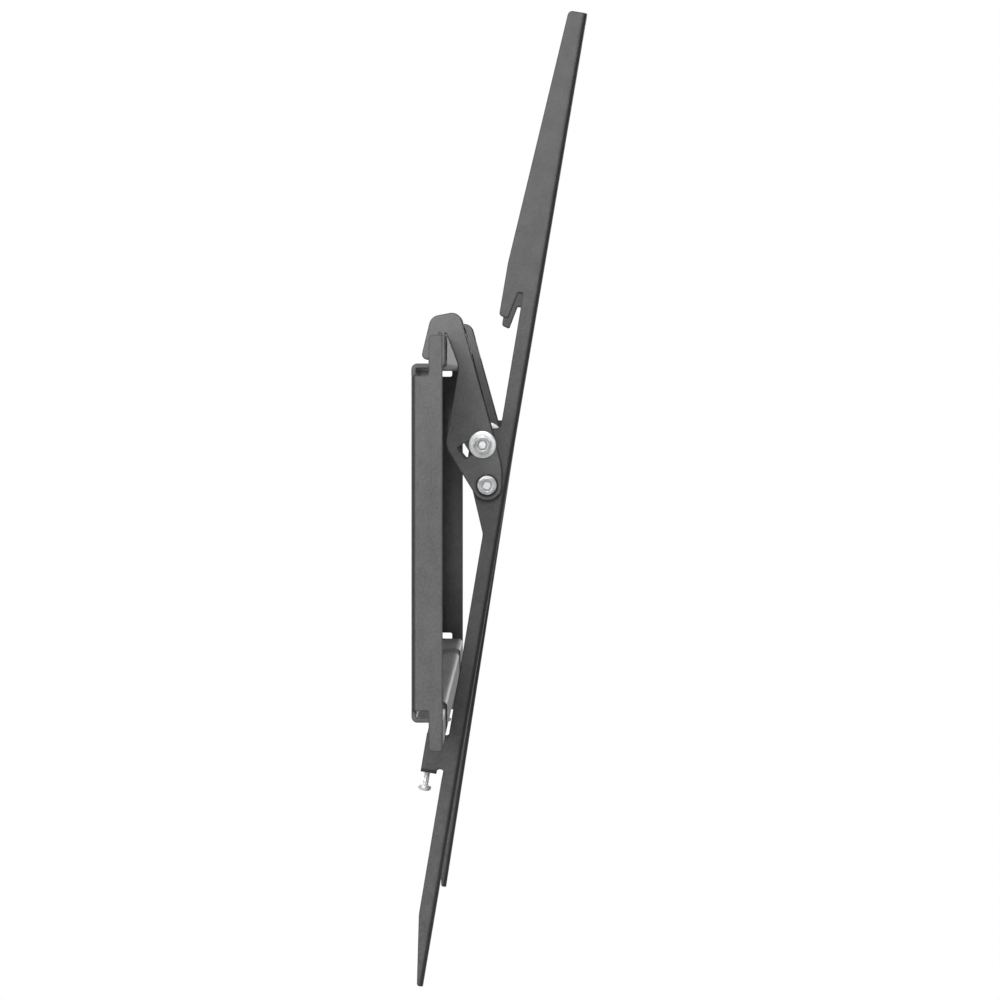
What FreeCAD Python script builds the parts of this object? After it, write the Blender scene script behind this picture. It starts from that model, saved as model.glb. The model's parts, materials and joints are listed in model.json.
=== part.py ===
# Tilting wall mount for a flat screen: a wall plate, two hangers hooked over its top lip, and two
# arms that carry the screen and tilt on the hangers.
#
# Frame: the origin lies on the wall at the middle of the wall plate. X runs along the plate, +Z is
# up, and the screen side faces -Y. Lengths are in millimetres and angles in degrees.
import FreeCAD, Part
import math
import os

from FreeCAD import Vector

# --- Driving dimensions -------------------------------------------------------------------------

SHEET = 2.0                     # sheet thickness of the plate, the hangers and the arms
OUTER_BEND = 2.5                # outside radius of a press-brake bend
INNER_BEND = OUTER_BEND - SHEET
RIM_ROUND = 0.45                # deburred rim of a laser-cut outline

PLATE_LENGTH = 600.0
PLATE_HALF_HEIGHT = 75.9        # back panel, out to the outside of each shelf
PLATE_DEPTH = 13.2              # wall to the front face of the lips
TOP_LIP_EDGE = 89.2
BOTTOM_LIP_EDGE = -86.3
END_FLANGE_HALF_HEIGHT = 70.8
END_LUG_HALF_HEIGHT = 88.0      # narrow lugs above and below each end flange
END_LUG_BACK = 7.3              # distance from the wall to the back edge of the lugs
END_GAP = 0.5                   # between an end flange and the ends of the shelves
END_STRIP = 10.0                # back panel that each end flange is drawn with

WINDOW_LENGTH = 112.0           # openings in the back panel
WINDOW_HEIGHT = 64.0
WINDOW_ROUND = 8.0
WINDOW_PITCH = 140.0
WINDOW_COUNT = 4
WALL_SLOT_LENGTH = 28.0         # slots for the wall screws
WALL_SLOT_WIDTH = 8.6
WALL_SLOT_SPACINGS = (203.2, 406.4, 540.0)
WALL_SLOT_ROWS = 112.0          # upper row to lower row

ARM_SPACING = 400.0             # centre to centre
PIVOT_OUT = 31.2                # pivot axis from the wall
PIVOT_UP = 22.7                 # pivot axis above the origin
REST_TILT = {"left": 9.6, "right": 8.8}     # top of the screen leaning forward

ARM_HALF_WIDTH = 14.0           # outside of a web from the middle of the arm
ARM_FRONT = 9.0                 # front face from the pivot axis
ARM_TOP = 211.6
ARM_BOTTOM = -223.4
SIDE_GAP = 0.8                  # between an arm's web and the hanger's side plate
SCREW_ROW_MIDDLE = -5.6         # middle of the screen-screw rows on the arm
SCREW_ROWS = (50.0, 100.0, 150.0, 200.0)    # above and below that middle
SCREEN_HOLE = 8.4
SCREEN_SLOT_LENGTH = 28.0

TILT_RADIUS = 17.95             # tilt bolt from the pivot axis
TILT_BOLT_BEARING = 106.0       # on the arm, from straight ahead towards the top
ARC_SLOT_WIDTH = 6.1
ARC_SLOT_BEARINGS = (85.5, 128.7)

M4_SHANK = 3.98
M4_CLEARANCE = 4.2
M4_BORE = 4.02                  # threaded bores are drawn plain, a hair over the shank
M4_ACROSS_FLATS = 7.0
M4_HEAD_HEIGHT = 2.8
M4_END_CHAMFER = 0.4
HEX_POINT_ROUND = 0.25
M4_NUT_HEX = 3.4
M4_NUT_COLLAR = 1.6
M4_NUT_COLLAR_OUTSIDE = 6.3
M4_NUT_FLANGE = 8.3             # thin round flange at the nut's seat
M4_NUT_FLANGE_HEIGHT = 0.7
NUT_RING_OUTSIDE = 5.3
NUT_RING_HEIGHT = 1.3
BOLT_PROUD = 1.2                # thread showing past a nut
WASHER_OUTSIDE = 12.0
WASHER_THICKNESS = 1.0
PIVOT_SEAT_OUTSIDE = 10.0       # black nylon washers under the pivot nut and head
PIVOT_SEAT_THICKNESS = 0.8
SLEEVE_OUTSIDE = 6.0
SLEEVE_BORE = 4.1
ARM_PIVOT_BORE = 6.1
DISC_OUTSIDE = 11.0             # nylon discs in the gap between arm and hanger
DISC_THICKNESS = 0.7
BUSH_OUTSIDE = 5.9              # bush that guides the tilt bolt in the arc slot
BUSH_INSET = 0.05               # from each face of the hook plate
SPACER_OUTSIDE = 6.4

LOCK_SHANK = 2.98
LOCK_BORE = 3.1
LOCK_HEAD = 5.9
LOCK_HEAD_HEIGHT = 2.2
LOCK_HEAD_ROUND = 1.0
LOCK_FORWARD = -4.4             # screw axis behind the pivot axis, on the arm
LOCK_INSET = 7.0                # screw axis inside the outer face of the arm
LOCK_HEAD_UP = -136.0           # underside of the head
LOCK_TIP_UP = -114.0
TAB_BOTTOM = -129.7
TAB_BACK = -7.9

CUT_REACH = 50.0                # how far a cutter through the front flange starts and ends from it

# --- Outlines, as corners (forward, up, corner radius) ------------------------------------------


def tangent_corner(radius, bearing_a, bearing_b):
    """Corner whose two sides touch a circle about the origin at the two bearings."""
    half = math.radians(bearing_b - bearing_a) / 2
    middle = math.radians(bearing_a + bearing_b) / 2
    reach = radius / math.cos(half)
    return reach * math.cos(middle), reach * math.sin(middle), radius


HOOK_EYE = 6.6                  # round end of the hanger about the pivot
HOOK_OUTLINE = [
    (-12.15, 76.5, 4.6),
    (-24.7, 74.1, 5.0),
    (-29.2, 55.3, 2.4),
    (-22.2, 54.9, 1.2),
    (-20.9, 66.6, 0.5),
    (-17.85, 66.6, 0.5),
    (-12.5, 52.3, 9.0),
    (-18.5, 17.5, 7.0),
    tangent_corner(HOOK_EYE, -148.8, 0.0),
    (HOOK_EYE, 8.6, 30.0),
]
HOOK_FRONT_SLOPE = 0.274        # the front edge falls back by this much for each unit of height
HOOK_FRONT_AT_PIVOT = 8.82      # where that edge would cross the height of the pivot
BRIDGE_LOW = 57.5
BRIDGE_HIGH = 67.5

ARM_OUTLINE = [
    (ARM_FRONT, ARM_TOP, 0.0),
    (0.6, ARM_TOP, 2.2),
    (-7.25, 97.8, 30.0),
    (-7.25, 74.9, 1.1),
    (-3.3, 73.8, 0.9),
    (-0.65, 86.0, 0.6),
    (1.6, 86.0, 0.7),
    (1.7, 25.3, 2.6),
    (-10.4, 23.2, 2.6),
    (-10.4, 7.4, 8.0),
    (1.75, -21.6, 5.0),
    (1.75, -114.0, 1.3),
    (-1.0, -114.0, 1.2),
    (-1.0, -111.5, 0.6),
    (TAB_BACK, -111.2, 1.4),
    (TAB_BACK, TAB_BOTTOM, 0.0),
    (1.85, TAB_BOTTOM, 0.0),
    (1.9, -192.0, 12.0),
    (6.3, ARM_BOTTOM, 1.3),
    (ARM_FRONT, ARM_BOTTOM, 0.0),
]
TAB_RELIEF = (0.75, -128.9, 1.75)   # round relief at the end of the tab's bend

# --- Shape helpers ------------------------------------------------------------------------------


def at(forward, up, x=0.0):
    """Point from its distance forward, its height and its place along X."""
    return Vector(x, -forward, up)


def outline(corners, x=0.0):
    """Closed wire across X: straight runs joined by the arc of each rounded corner."""
    stops = []
    edges = []
    for index, (forward, up, radius) in enumerate(corners):
        corner = at(forward, up, x)
        back = (at(*corners[index - 1][:2], x) - corner).normalize()
        ahead = (at(*corners[(index + 1) % len(corners)][:2], x) - corner).normalize()
        if radius == 0.0:
            stops.append((corner, corner))
            continue
        half = back.getAngle(ahead) / 2
        setback = radius / math.tan(half)
        crest = corner + (back + ahead).normalize() * (radius / math.sin(half) - radius)
        stops.append((corner + back * setback, corner + ahead * setback))
        edges.append(Part.Arc(stops[-1][0], crest, stops[-1][1]).toShape())
    for index, (start, _) in enumerate(stops):
        edges.append(Part.LineSegment(stops[index - 1][1], start).toShape())
    return Part.Wire(Part.__sortEdges__(edges))


def plate(corners, x_from, x_to):
    """Sheet of the given outline between two places along X."""
    return Part.Face(outline(corners, x_from)).extrude(Vector(x_to - x_from, 0, 0))


def rectangle(forward_from, forward_to, up_from, up_to, radius=0.0):
    """Corners of an upright rectangle."""
    return [
        (forward_from, up_from, radius),
        (forward_to, up_from, radius),
        (forward_to, up_to, radius),
        (forward_from, up_to, radius),
    ]


def rod(diameter, x_from, x_to, forward=0.0, up=0.0):
    """Round bar along X."""
    return Part.makeCylinder(diameter / 2, x_to - x_from, at(forward, up, x_from), Vector(1, 0, 0))


def ring(outside, bore, x_from, x_to, forward=0.0, up=0.0):
    """Round bar along X with a bore."""
    return rod(outside, x_from, x_to, forward, up).cut(rod(bore, x_from, x_to, forward, up))


def hexagon(across_flats, x_from, x_to):
    """Hexagonal bar along X, with two flats upright and its points rounded."""
    reach = across_flats / math.sqrt(3)
    corners = []
    for turn in range(6):
        bearing = math.radians(60 * turn + 30)
        corners.append((reach * math.cos(bearing), reach * math.sin(bearing), HEX_POINT_ROUND))
    return plate(corners, x_from, x_to)


def flat_slot(width, length, x, up, along):
    """Round-ended cutter through a sheet that faces forward, with its length along a direction."""
    reach = along * ((length - width) / 2)
    middle = at(-CUT_REACH, up, x)
    through = Vector(0, -1, 0)
    depth = 2 * CUT_REACH
    cutter = Part.makeCylinder(width / 2, depth, middle + reach, through)
    if reach.Length == 0.0:
        return cutter
    cutter = cutter.fuse(Part.makeCylinder(width / 2, depth, middle - reach, through))
    side = along.cross(through) * (width / 2)
    corners = [middle - reach - side, middle + reach - side, middle + reach + side,
               middle - reach + side]
    flat = Part.Face(Part.makePolygon(corners + corners[:1]))
    return cutter.fuse(flat.extrude(through * depth)).removeSplitter()


def polar(radius, bearing):
    """(forward, up) of a point at a bearing from straight ahead towards the top."""
    angle = math.radians(bearing)
    return radius * math.cos(angle), radius * math.sin(angle)


def arc_slot(radius, width, bearing_from, bearing_to, x_from, x_to):
    """Cutter along X for a slot on an arc about the origin, with straight ends."""
    inner = radius - width / 2
    outer = radius + width / 2
    middle = (bearing_from + bearing_to) / 2
    edges = []
    for reach in (inner, outer):
        points = [at(*polar(reach, b), x_from) for b in (bearing_from, middle, bearing_to)]
        edges.append(Part.Arc(*points).toShape())
    for bearing in (bearing_from, bearing_to):
        ends = [at(*polar(reach, bearing), x_from) for reach in (inner, outer)]
        edges.append(Part.LineSegment(*ends).toShape())
    face = Part.Face(Part.Wire(Part.__sortEdges__(edges)))
    return face.extrude(Vector(x_to - x_from, 0, 0))


def rim_edges(shape, x):
    """Edges of a shape that lie wholly in the plane across X at the given place."""
    return [edge for edge in shape.Edges
            if abs(edge.BoundBox.XMin - x) < 1e-6 and abs(edge.BoundBox.XMax - x) < 1e-6]


# --- Wall plate ---------------------------------------------------------------------------------


def wall_section():
    """Section of the plate across its length: back panel, two shelves and two lips."""
    shelf_out = PLATE_HALF_HEIGHT
    shelf_in = PLATE_HALF_HEIGHT - SHEET
    lip_back = PLATE_DEPTH - SHEET
    return [
        (0.0, -shelf_out, OUTER_BEND),
        (0.0, shelf_out, OUTER_BEND),
        (lip_back, shelf_out, INNER_BEND),
        (lip_back, TOP_LIP_EDGE, RIM_ROUND),
        (PLATE_DEPTH, TOP_LIP_EDGE, RIM_ROUND),
        (PLATE_DEPTH, shelf_in, OUTER_BEND),
        (SHEET, shelf_in, INNER_BEND),
        (SHEET, -shelf_in, INNER_BEND),
        (PLATE_DEPTH, -shelf_in, OUTER_BEND),
        (PLATE_DEPTH, BOTTOM_LIP_EDGE, RIM_ROUND),
        (lip_back, BOTTOM_LIP_EDGE, RIM_ROUND),
        (lip_back, -shelf_out, INNER_BEND),
    ]


def end_flange_outline():
    """T-shaped end flange with a narrow lug above and below."""
    body = END_FLANGE_HALF_HEIGHT
    lug = END_LUG_HALF_HEIGHT
    return [
        (0.0, -body, 1.5),
        (0.0, body, 1.5),
        (END_LUG_BACK, body, 1.0),
        (END_LUG_BACK, lug, 2.0),
        (PLATE_DEPTH, lug, 1.2),
        (PLATE_DEPTH, -lug, 1.2),
        (END_LUG_BACK, -lug, 2.0),
        (END_LUG_BACK, -body, 1.0),
    ]


def end_flange(side):
    """End flange with the strip of back panel that it is bent from; side is -1 left, 1 right."""
    half = PLATE_LENGTH / 2
    outer = side * half
    inner = side * (half - SHEET)
    flange = plate(end_flange_outline(), min(outer, inner), max(outer, inner))
    root = side * (half - END_STRIP)
    strip_height = END_FLANGE_HALF_HEIGHT
    strip = plate(rectangle(0.0, SHEET, -strip_height, strip_height),
                  min(outer, root), max(outer, root))
    joined = flange.fuse(strip).removeSplitter()
    corner = [edge for edge in joined.Edges
              if abs(edge.BoundBox.XMin - outer) < 1e-6 and abs(edge.BoundBox.XMax - outer) < 1e-6
              and abs(edge.BoundBox.YMin) < 1e-6 and abs(edge.BoundBox.YMax) < 1e-6]
    return joined.makeFillet(OUTER_BEND, corner)


def wall_plate():
    half = PLATE_LENGTH / 2
    tray_half = half - SHEET - END_GAP
    body = plate(wall_section(), -tray_half, tray_half)
    body = body.fuse([end_flange(-1), end_flange(1)]).removeSplitter()
    cutters = []
    for index in range(WINDOW_COUNT):
        middle = (index - (WINDOW_COUNT - 1) / 2) * WINDOW_PITCH
        cutters.append(window(middle))
    for spacing in WALL_SLOT_SPACINGS:
        for x in (-spacing / 2, spacing / 2):
            for up in (-WALL_SLOT_ROWS / 2, WALL_SLOT_ROWS / 2):
                cutters.append(flat_slot(WALL_SLOT_WIDTH, WALL_SLOT_LENGTH, x, up, Vector(1, 0, 0)))
    return body.cut(cutters)


def window(middle):
    """Cutter for one round-cornered opening in the back panel."""
    box = Part.makeBox(WINDOW_LENGTH, 2 * SHEET, WINDOW_HEIGHT,
                       at(1.5 * SHEET, -WINDOW_HEIGHT / 2, middle - WINDOW_LENGTH / 2))
    corners = [edge for edge in box.Edges
               if edge.BoundBox.YLength > 1.0 and edge.BoundBox.XLength < 1e-6
               and edge.BoundBox.ZLength < 1e-6]
    return box.makeFillet(WINDOW_ROUND, corners)


# --- Hanger: everything that hooks over the top lip, drawn about the pivot axis -------------------
# The outer side of each hanger and arm is drawn at -X, and the right-hand one is its mirror image.

PLATE_INNER = ARM_HALF_WIDTH + SIDE_GAP
PLATE_OUTER = PLATE_INNER + SHEET


def hook_front(up, depth=0.0):
    """Corner on the hanger's front edge, or a depth behind it, at a height."""
    slope = math.atan(HOOK_FRONT_SLOPE)
    forward = HOOK_FRONT_AT_PIVOT - HOOK_FRONT_SLOPE * up
    return forward - depth * math.cos(slope), up - depth * math.sin(slope), 0.0


def hook_bracket():
    """Two hook plates outside the arm's webs, joined by a bridge near their top."""
    sides = []
    for inner, outer in ((-PLATE_INNER, -PLATE_OUTER), (PLATE_INNER, PLATE_OUTER)):
        start = min(inner, outer)
        end = max(inner, outer)
        side = plate(HOOK_OUTLINE, start, end)
        side = side.makeFillet(RIM_ROUND, rim_edges(side, outer))
        side = side.cut([
            rod(M4_CLEARANCE, start, end),
            arc_slot(TILT_RADIUS, ARC_SLOT_WIDTH, *ARC_SLOT_BEARINGS, start, end),
        ])
        sides.append(side)
    bridge = plate([hook_front(BRIDGE_LOW), hook_front(BRIDGE_HIGH), hook_front(BRIDGE_HIGH, SHEET),
                    hook_front(BRIDGE_LOW, SHEET)], -PLATE_INNER, PLATE_INNER)
    return sides[0].fuse([sides[1], bridge])


def hex_bolt(nut_seat, head_seat):
    """M4 bolt along X with its head inboard, at +X, and its end just past the nut."""
    end = nut_seat - M4_NUT_HEX - M4_NUT_COLLAR - BOLT_PROUD
    shank = rod(M4_SHANK, end, head_seat)
    shank = shank.makeChamfer(M4_END_CHAMFER, rim_edges(shank, end))
    return shank.fuse(hexagon(M4_ACROSS_FLATS, head_seat, head_seat + M4_HEAD_HEIGHT))


def lock_nut(seat):
    """Nut that faces outwards from its seat, with a collar that is hollowed for a nylon ring."""
    shoulder = seat - M4_NUT_HEX
    top = shoulder - M4_NUT_COLLAR
    nut = hexagon(M4_ACROSS_FLATS, shoulder, seat)
    nut = nut.fuse([
        rod(M4_NUT_COLLAR_OUTSIDE, top, shoulder),
        rod(M4_NUT_FLANGE, seat - M4_NUT_FLANGE_HEIGHT, seat),
    ])
    return nut.cut([rod(M4_BORE, top, seat), rod(NUT_RING_OUTSIDE, top, top + NUT_RING_HEIGHT)])


def nut_ring(seat):
    """Nylon ring in the nut's collar."""
    top = seat - M4_NUT_HEX - M4_NUT_COLLAR
    return ring(NUT_RING_OUTSIDE, M4_BORE, top, top + NUT_RING_HEIGHT)


def both_gaps(outside, bore):
    """Pair of nylon discs, one in each gap between arm and hanger."""
    margin = (SIDE_GAP - DISC_THICKNESS) / 2
    near = ARM_HALF_WIDTH + margin
    far = near + DISC_THICKNESS
    return Part.makeCompound([ring(outside, bore, -far, -near), ring(outside, bore, near, far)])


def hanger_pieces():
    """Hook bracket and everything on its pivot, except the arm."""
    seat = PLATE_OUTER + PIVOT_SEAT_THICKNESS
    return {
        "hook_bracket": hook_bracket(),
        "pivot_bolt": hex_bolt(-seat, seat),
        "pivot_nut": lock_nut(-seat),
        "pivot_nut_ring": nut_ring(-seat),
        "pivot_seats": Part.makeCompound([
            ring(PIVOT_SEAT_OUTSIDE, M4_CLEARANCE, -seat, -PLATE_OUTER),
            ring(PIVOT_SEAT_OUTSIDE, M4_CLEARANCE, PLATE_OUTER, seat),
        ]),
        "pivot_sleeve": ring(SLEEVE_OUTSIDE, SLEEVE_BORE, -PLATE_INNER, PLATE_INNER),
        "pivot_washers": both_gaps(DISC_OUTSIDE, ARM_PIVOT_BORE),
    }


# --- Arm and the pieces that tilt with it, drawn upright about the pivot axis ---------------------


def tv_arm():
    """Channel of two alike webs and a front flange, with the lock screw's tab on the outer web."""
    half = ARM_HALF_WIDTH
    arm = plate(ARM_OUTLINE, -half, half)
    length = ARM_TOP - ARM_BOTTOM
    corners = [edge for edge in arm.Edges
               if abs(edge.BoundBox.ZLength - length) < 1e-6
               and abs(edge.BoundBox.YMin + ARM_FRONT) < 1e-6
               and abs(edge.BoundBox.YMax + ARM_FRONT) < 1e-6]
    arm = arm.makeFillet(OUTER_BEND, corners)
    hollow = plate(rectangle(-CUT_REACH, ARM_FRONT - SHEET, ARM_BOTTOM - SHEET, ARM_TOP + SHEET),
                   -half + SHEET, half - SHEET)
    cutters = [hollow, rod(ARM_PIVOT_BORE, -half, half)]
    cutters.append(rod(M4_CLEARANCE, -half, half, *polar(TILT_RADIUS, TILT_BOLT_BEARING)))
    cutters.extend(screen_hole_cutters())
    arm = arm.cut(cutters)
    return bent_tab(arm)


def bent_tab(arm):
    """Adds the tab's floor, its bend, the relief beside it and the lock screw's hole."""
    half = ARM_HALF_WIDTH
    relief_forward, relief_up, relief_radius = TAB_RELIEF
    floor = plate(rectangle(TAB_BACK, relief_forward, TAB_BOTTOM, TAB_BOTTOM + SHEET),
                  -half + SHEET, -half + 2 * LOCK_INSET)
    run = relief_forward - TAB_BACK + SHEET
    outside_bend = Part.makeBox(OUTER_BEND, run, OUTER_BEND, at(relief_forward, TAB_BOTTOM, -half))
    bend_round = Part.makeCylinder(OUTER_BEND, run,
                                   at(relief_forward, TAB_BOTTOM + OUTER_BEND, OUTER_BEND - half),
                                   Vector(0, 1, 0))
    screw_hole = Part.makeCylinder(LOCK_BORE / 2, 3 * SHEET,
                                   at(LOCK_FORWARD, TAB_BOTTOM - SHEET, LOCK_INSET - half))
    relief = rod(2 * relief_radius, -half, half, relief_forward, relief_up)
    return arm.fuse(floor).removeSplitter().cut([outside_bend.cut(bend_round), relief, screw_hole])


def screen_hole_cutters():
    """Round holes on the standard rows and adjustment slots between them."""
    cutters = []
    for sign in (-1, 1):
        for row, offset in enumerate(SCREW_ROWS):
            up = SCREW_ROW_MIDDLE + sign * offset
            cutters.append(flat_slot(SCREEN_HOLE, SCREEN_HOLE, 0.0, up, Vector(0, 0, 1)))
            if row:
                between = up - sign * (offset - SCREW_ROWS[row - 1]) / 2
                cutters.append(
                    flat_slot(SCREEN_HOLE, SCREEN_SLOT_LENGTH, 0.0, between, Vector(0, 0, 1)))
    return cutters


def lock_screw():
    """Pan-head screw that is driven upwards until its tip stands behind the bottom lip."""
    x = LOCK_INSET - ARM_HALF_WIDTH
    shank = Part.makeCylinder(LOCK_SHANK / 2, LOCK_TIP_UP - LOCK_HEAD_UP,
                              at(LOCK_FORWARD, LOCK_HEAD_UP, x))
    head = Part.makeCylinder(LOCK_HEAD / 2, LOCK_HEAD_HEIGHT,
                             at(LOCK_FORWARD, LOCK_HEAD_UP - LOCK_HEAD_HEIGHT, x))
    low_rim = [edge for edge in head.Edges
               if abs(edge.BoundBox.ZMax - LOCK_HEAD_UP + LOCK_HEAD_HEIGHT) < 1e-6]
    return shank.fuse(head.makeFillet(LOCK_HEAD_ROUND, low_rim))


def tilt_pieces():
    """Tilt bolt, drawn about its own axis, with everything that is clamped under it."""
    seat = PLATE_OUTER + WASHER_THICKNESS
    bush_from = PLATE_INNER + BUSH_INSET
    bush_to = PLATE_OUTER - BUSH_INSET
    inside = ARM_HALF_WIDTH - SHEET
    return {
        "tilt_bolt": hex_bolt(-seat, seat),
        "tilt_nut": lock_nut(-seat),
        "tilt_nut_ring": nut_ring(-seat),
        "tilt_washer_outer": ring(WASHER_OUTSIDE, M4_CLEARANCE, -seat, -PLATE_OUTER),
        "tilt_washer_inner": ring(WASHER_OUTSIDE, M4_CLEARANCE, PLATE_OUTER, seat),
        "tilt_spacer": ring(SPACER_OUTSIDE, M4_CLEARANCE, -inside, inside),
        "friction_discs": both_gaps(DISC_OUTSIDE, M4_CLEARANCE),
        "slot_bushes": Part.makeCompound([
            ring(BUSH_OUTSIDE, M4_CLEARANCE, -bush_to, -bush_from),
            ring(BUSH_OUTSIDE, M4_CLEARANCE, bush_from, bush_to),
        ]),
    }


def arm_pieces():
    pieces = {"tv_arm": tv_arm(), "lock_screw": lock_screw()}
    tilt_axis = at(*polar(TILT_RADIUS, TILT_BOLT_BEARING))
    for name, shape in tilt_pieces().items():
        pieces[name] = shape.translated(tilt_axis)
    return pieces


# --- Assembly -----------------------------------------------------------------------------------


def place(shape, side, tilt):
    """Copy of a left-hand shape on its side of the mount, tilted about the pivot axis."""
    origin = Vector(0, 0, 0)
    x = -ARM_SPACING / 2
    if side == "right":
        shape = shape.mirror(origin, Vector(1, 0, 0))
        x = ARM_SPACING / 2
    return shape.rotated(origin, Vector(1, 0, 0), tilt).translated(at(PIVOT_OUT, PIVOT_UP, x))


def assembly():
    """Every node's shape by name."""
    nodes = {"wall_plate": wall_plate()}
    hanger = hanger_pieces()
    arm = arm_pieces()
    for side, tilt in REST_TILT.items():
        for name, shape in hanger.items():
            nodes[f"{side}_{name}"] = place(shape, side, 0.0)
        for name, shape in arm.items():
            nodes[f"{side}_{name}"] = place(shape, side, tilt)
    return nodes


os.makedirs("parts", exist_ok=True)
for node, solid in assembly().items():
    solid.exportStep(f"parts/{node}.step")
    print(node, "solids", len(solid.Solids), "valid", solid.isValid(), "volume", round(solid.Volume, 1))
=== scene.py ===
"""Visual model of a tilting screen mount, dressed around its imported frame.

Everything is in metres and in the frame's own axes: X runs along the wall plate, -Y points out of
the wall towards the screen and +Z is up. Sheet-metal parts are refined copies of the frame's own
solids, and the hardware is modelled afresh on the axes that the frame gives.
"""
import json
import logging
import math
from dataclasses import dataclass
from enum import Enum
from typing import Callable, Sequence

import bmesh
import bpy
from mathutils import Matrix, Vector


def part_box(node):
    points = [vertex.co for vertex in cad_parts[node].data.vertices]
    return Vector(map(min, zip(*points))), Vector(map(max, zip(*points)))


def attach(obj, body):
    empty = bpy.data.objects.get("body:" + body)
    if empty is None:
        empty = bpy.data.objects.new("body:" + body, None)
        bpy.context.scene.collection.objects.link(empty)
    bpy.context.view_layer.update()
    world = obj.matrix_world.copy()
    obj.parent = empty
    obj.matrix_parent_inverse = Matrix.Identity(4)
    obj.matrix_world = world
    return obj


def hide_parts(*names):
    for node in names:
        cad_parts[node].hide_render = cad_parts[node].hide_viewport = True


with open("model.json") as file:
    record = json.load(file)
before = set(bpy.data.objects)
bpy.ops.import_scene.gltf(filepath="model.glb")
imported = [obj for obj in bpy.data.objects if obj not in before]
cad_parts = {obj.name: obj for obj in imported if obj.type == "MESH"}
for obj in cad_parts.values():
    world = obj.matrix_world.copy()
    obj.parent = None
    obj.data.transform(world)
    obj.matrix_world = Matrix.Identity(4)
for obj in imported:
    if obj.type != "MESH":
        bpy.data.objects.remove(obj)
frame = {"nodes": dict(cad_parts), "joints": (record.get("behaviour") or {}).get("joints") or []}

LOG = logging.getLogger("screen_mount")
MM = 0.001
FULL_TURN = 2 * math.pi

Colour = tuple[float, float, float, float]
Ring = list[bmesh.types.BMVert]


def grey(value: float, warmth: float = 0.0) -> Colour:
    """A near-neutral colour.

    Args:
        value: Linear brightness.
        warmth: How much redder than blue it is, as a share of the brightness.

    Returns:
        The colour with full alpha.
    """
    return (value * (1 + warmth), value, value * (1 - warmth), 1.0)


class Side(Enum):
    """The two hangers and arms, seen from the front."""

    LEFT = "left"
    RIGHT = "right"

    @property
    def outward(self) -> Vector:
        """Direction from the middle of the plate towards this side."""
        return Vector((-1, 0, 0)) if self is Side.LEFT else Vector((1, 0, 0))

    def node(self, piece: str) -> str:
        """Name of this side's node for a piece."""
        return f"{self.value}_{piece}"

    def body(self, group: str) -> str:
        """Name of this side's body."""
        return f"{self.value}_{group}"


# --- Shader node groups ---------------------------------------------------------------------------


class Sheet:
    """A node tree that is filled by short calls."""

    def __init__(self, tree: bpy.types.NodeTree) -> None:
        """Takes the tree to fill.

        Args:
            tree: A material's tree or a node group.
        """
        self.tree = tree

    def add(self, kind: str, settings: dict | None = None, **links: object) -> bpy.types.Node:
        """Adds a node, sets its properties and feeds its inputs.

        Args:
            kind: The node's type without its ShaderNode prefix.
            settings: Properties of the node.
            **links: Inputs by name, with underscores for spaces; a socket is linked and a value
                is set.

        Returns:
            The new node.
        """
        node = self.tree.nodes.new("ShaderNode" + kind)
        for key, value in (settings or {}).items():
            setattr(node, key, value)
        for key, value in links.items():
            self.feed(node.inputs[key.replace("_", " ")], value)
        return node

    def feed(self, socket: bpy.types.NodeSocket, value: object) -> None:
        """Links a socket to another or sets its value."""
        if isinstance(value, bpy.types.NodeSocket):
            self.tree.links.new(value, socket)
        else:
            socket.default_value = value

    def math(self, operation: str, first: object, second: object = 0.0) -> bpy.types.NodeSocket:
        """Output of a Math node on two values or sockets; a difference is kept in 0..1."""
        node = self.tree.nodes.new("ShaderNodeMath")
        node.operation = operation
        node.use_clamp = operation == "SUBTRACT"
        self.feed(node.inputs[0], first)
        self.feed(node.inputs[1], second)
        return node.outputs[0]

    def blend(self, mask: object, first: object, second: object) -> bpy.types.NodeSocket:
        """Output of a colour mix.

        Args:
            mask: Share of the second colour.
            first: Colour where the mask is 0.
            second: Colour where the mask is 1.

        Returns:
            The mixed colour's socket.
        """
        node = self.tree.nodes.new("ShaderNodeMix")
        node.data_type = "RGBA"
        self.feed(node.inputs["Factor"], mask)
        self.feed(node.inputs["A"], first)
        self.feed(node.inputs["B"], second)
        return node.outputs["Result"]

    def ramp(self, value: object, low: float, high: float, to_low: float = 0.0,
             to_high: float = 1.0) -> bpy.types.NodeSocket:
        """Output of a smooth Map Range from low..high to to_low..to_high."""
        node = self.add("MapRange", {"interpolation_type": "SMOOTHSTEP"}, Value=value,
                        From_Min=low, From_Max=high, To_Min=to_low, To_Max=to_high)
        return node.outputs["Result"]


def new_group(name: str, inputs: dict[str, tuple[str, float]],
              outputs: dict[str, str]) -> tuple[bpy.types.NodeTree, Sheet, dict, bpy.types.Node]:
    """Starts a shader node group.

    Args:
        name: The group's name.
        inputs: Kind and starting value of each input by name; a vector's value is ignored.
        outputs: Kind of each output by name.

    Returns:
        The group, a sheet to fill it by, its input sockets by name, and its output node.
    """
    group = bpy.data.node_groups.new(name, "ShaderNodeTree")
    for label, (kind, value) in inputs.items():
        socket = group.interface.new_socket(label, in_out="INPUT", socket_type="NodeSocket" + kind)
        if kind == "Float":
            socket.default_value = value
    for label, kind in outputs.items():
        group.interface.new_socket(label, in_out="OUTPUT", socket_type="NodeSocket" + kind)
    inside = group.nodes.new("NodeGroupInput")
    result = group.nodes.new("NodeGroupOutput")
    return group, Sheet(group), {socket.name: socket for socket in inside.outputs}, result


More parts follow.
